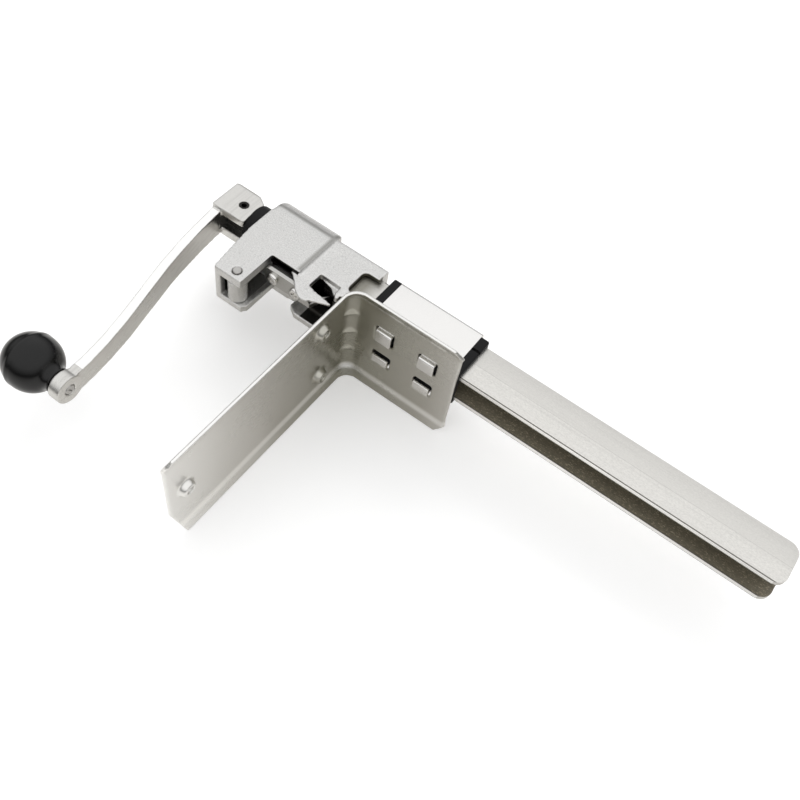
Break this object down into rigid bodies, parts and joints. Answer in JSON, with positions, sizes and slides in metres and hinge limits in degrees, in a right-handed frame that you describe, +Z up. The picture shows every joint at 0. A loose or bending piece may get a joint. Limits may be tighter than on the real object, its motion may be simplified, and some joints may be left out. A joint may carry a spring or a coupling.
{
  "type": "table-mounted crank can opener",
  "caption": "Commercial can opener: a cast head with knife, feed gear and crank on a long H-section bar that slides in a sleeve on a screw-down L-shaped table bracket.",
  "frame": {"origin": "the worktop's top edge, midway along the bracket's width: the plate rests on Z = 0 and the bracket's leg hangs against X = 0", "axes": "+Z up along the sliding bar, -X over the worktop, +Y along the worktop's edge"},
  "size_m": [0.2565, 0.102, 0.524],
  "materials": {
    "plated_sheet": "smooth nickel plate",
    "plated_bar": "satin nickel plate",
    "plated_casting": "fine blasted nickel plate",
    "plain_steel": "machined",
    "tool_steel": "ground",
    "bright_screws": "bright plated",
    "bronze": "sintered",
    "black_nylon": "moulded, matte",
    "black_knob": "polished"
  },
  "bodies": {
    "base": {"base_bracket": "plated_sheet", "bar_sleeve": "plated_sheet", "upper_guide": "black_nylon", "lower_guide_outer": "black_nylon", "lower_guide_inner": "black_nylon"},
    "slider": {"bar": "plated_bar", "head_body": "plated_casting", "shank_rivet_1": "plain_steel", "shank_rivet_2": "plain_steel", "shank_rivet_3": "plain_steel", "roller_pin": "plain_steel", "knife": "tool_steel", "knife_shim_1": "plain_steel", "knife_shim_2": "tool_steel", "knife_shim_3": "plain_steel", "knife_screw_1": "bright_screws", "knife_screw_2": "bright_screws", "lower_bush": "bronze", "upper_bush": "bronze"},
    "crank": {"crank_arm": "plated_bar", "crank_pin": "plain_steel", "arbor": "plain_steel", "thrust_collar": "black_nylon", "feed_gear": "tool_steel", "gear_washer": "plain_steel", "gear_screw": "plain_steel", "knob_stud": "plain_steel", "knob_washer": "plain_steel"},
    "knob": {"knob": "black_knob"},
    "roller": {"guide_roller": "plated_casting"}
  },
  "joints": [
    {"name": "bar_slide", "type": "slide", "parent": "base", "child": "slider", "axis": [0, 0, 1], "range_m": [0, 0.25]},
    {"name": "crank_spin", "type": "hinge", "parent": "slider", "child": "crank", "pos_m": [0.037, 0, 0.1], "axis": [0, 0, 1], "continuous": true},
    {"name": "knob_spin", "type": "hinge", "parent": "crank", "child": "knob", "pos_m": [-0.167, 0, 0.15], "axis": [0, 0, 1], "continuous": true},
    {"name": "roller_spin", "type": "hinge", "parent": "slider", "child": "roller", "pos_m": [-0.022, 0, 0.0912], "axis": [0, 1, 0], "continuous": true}
  ]
}
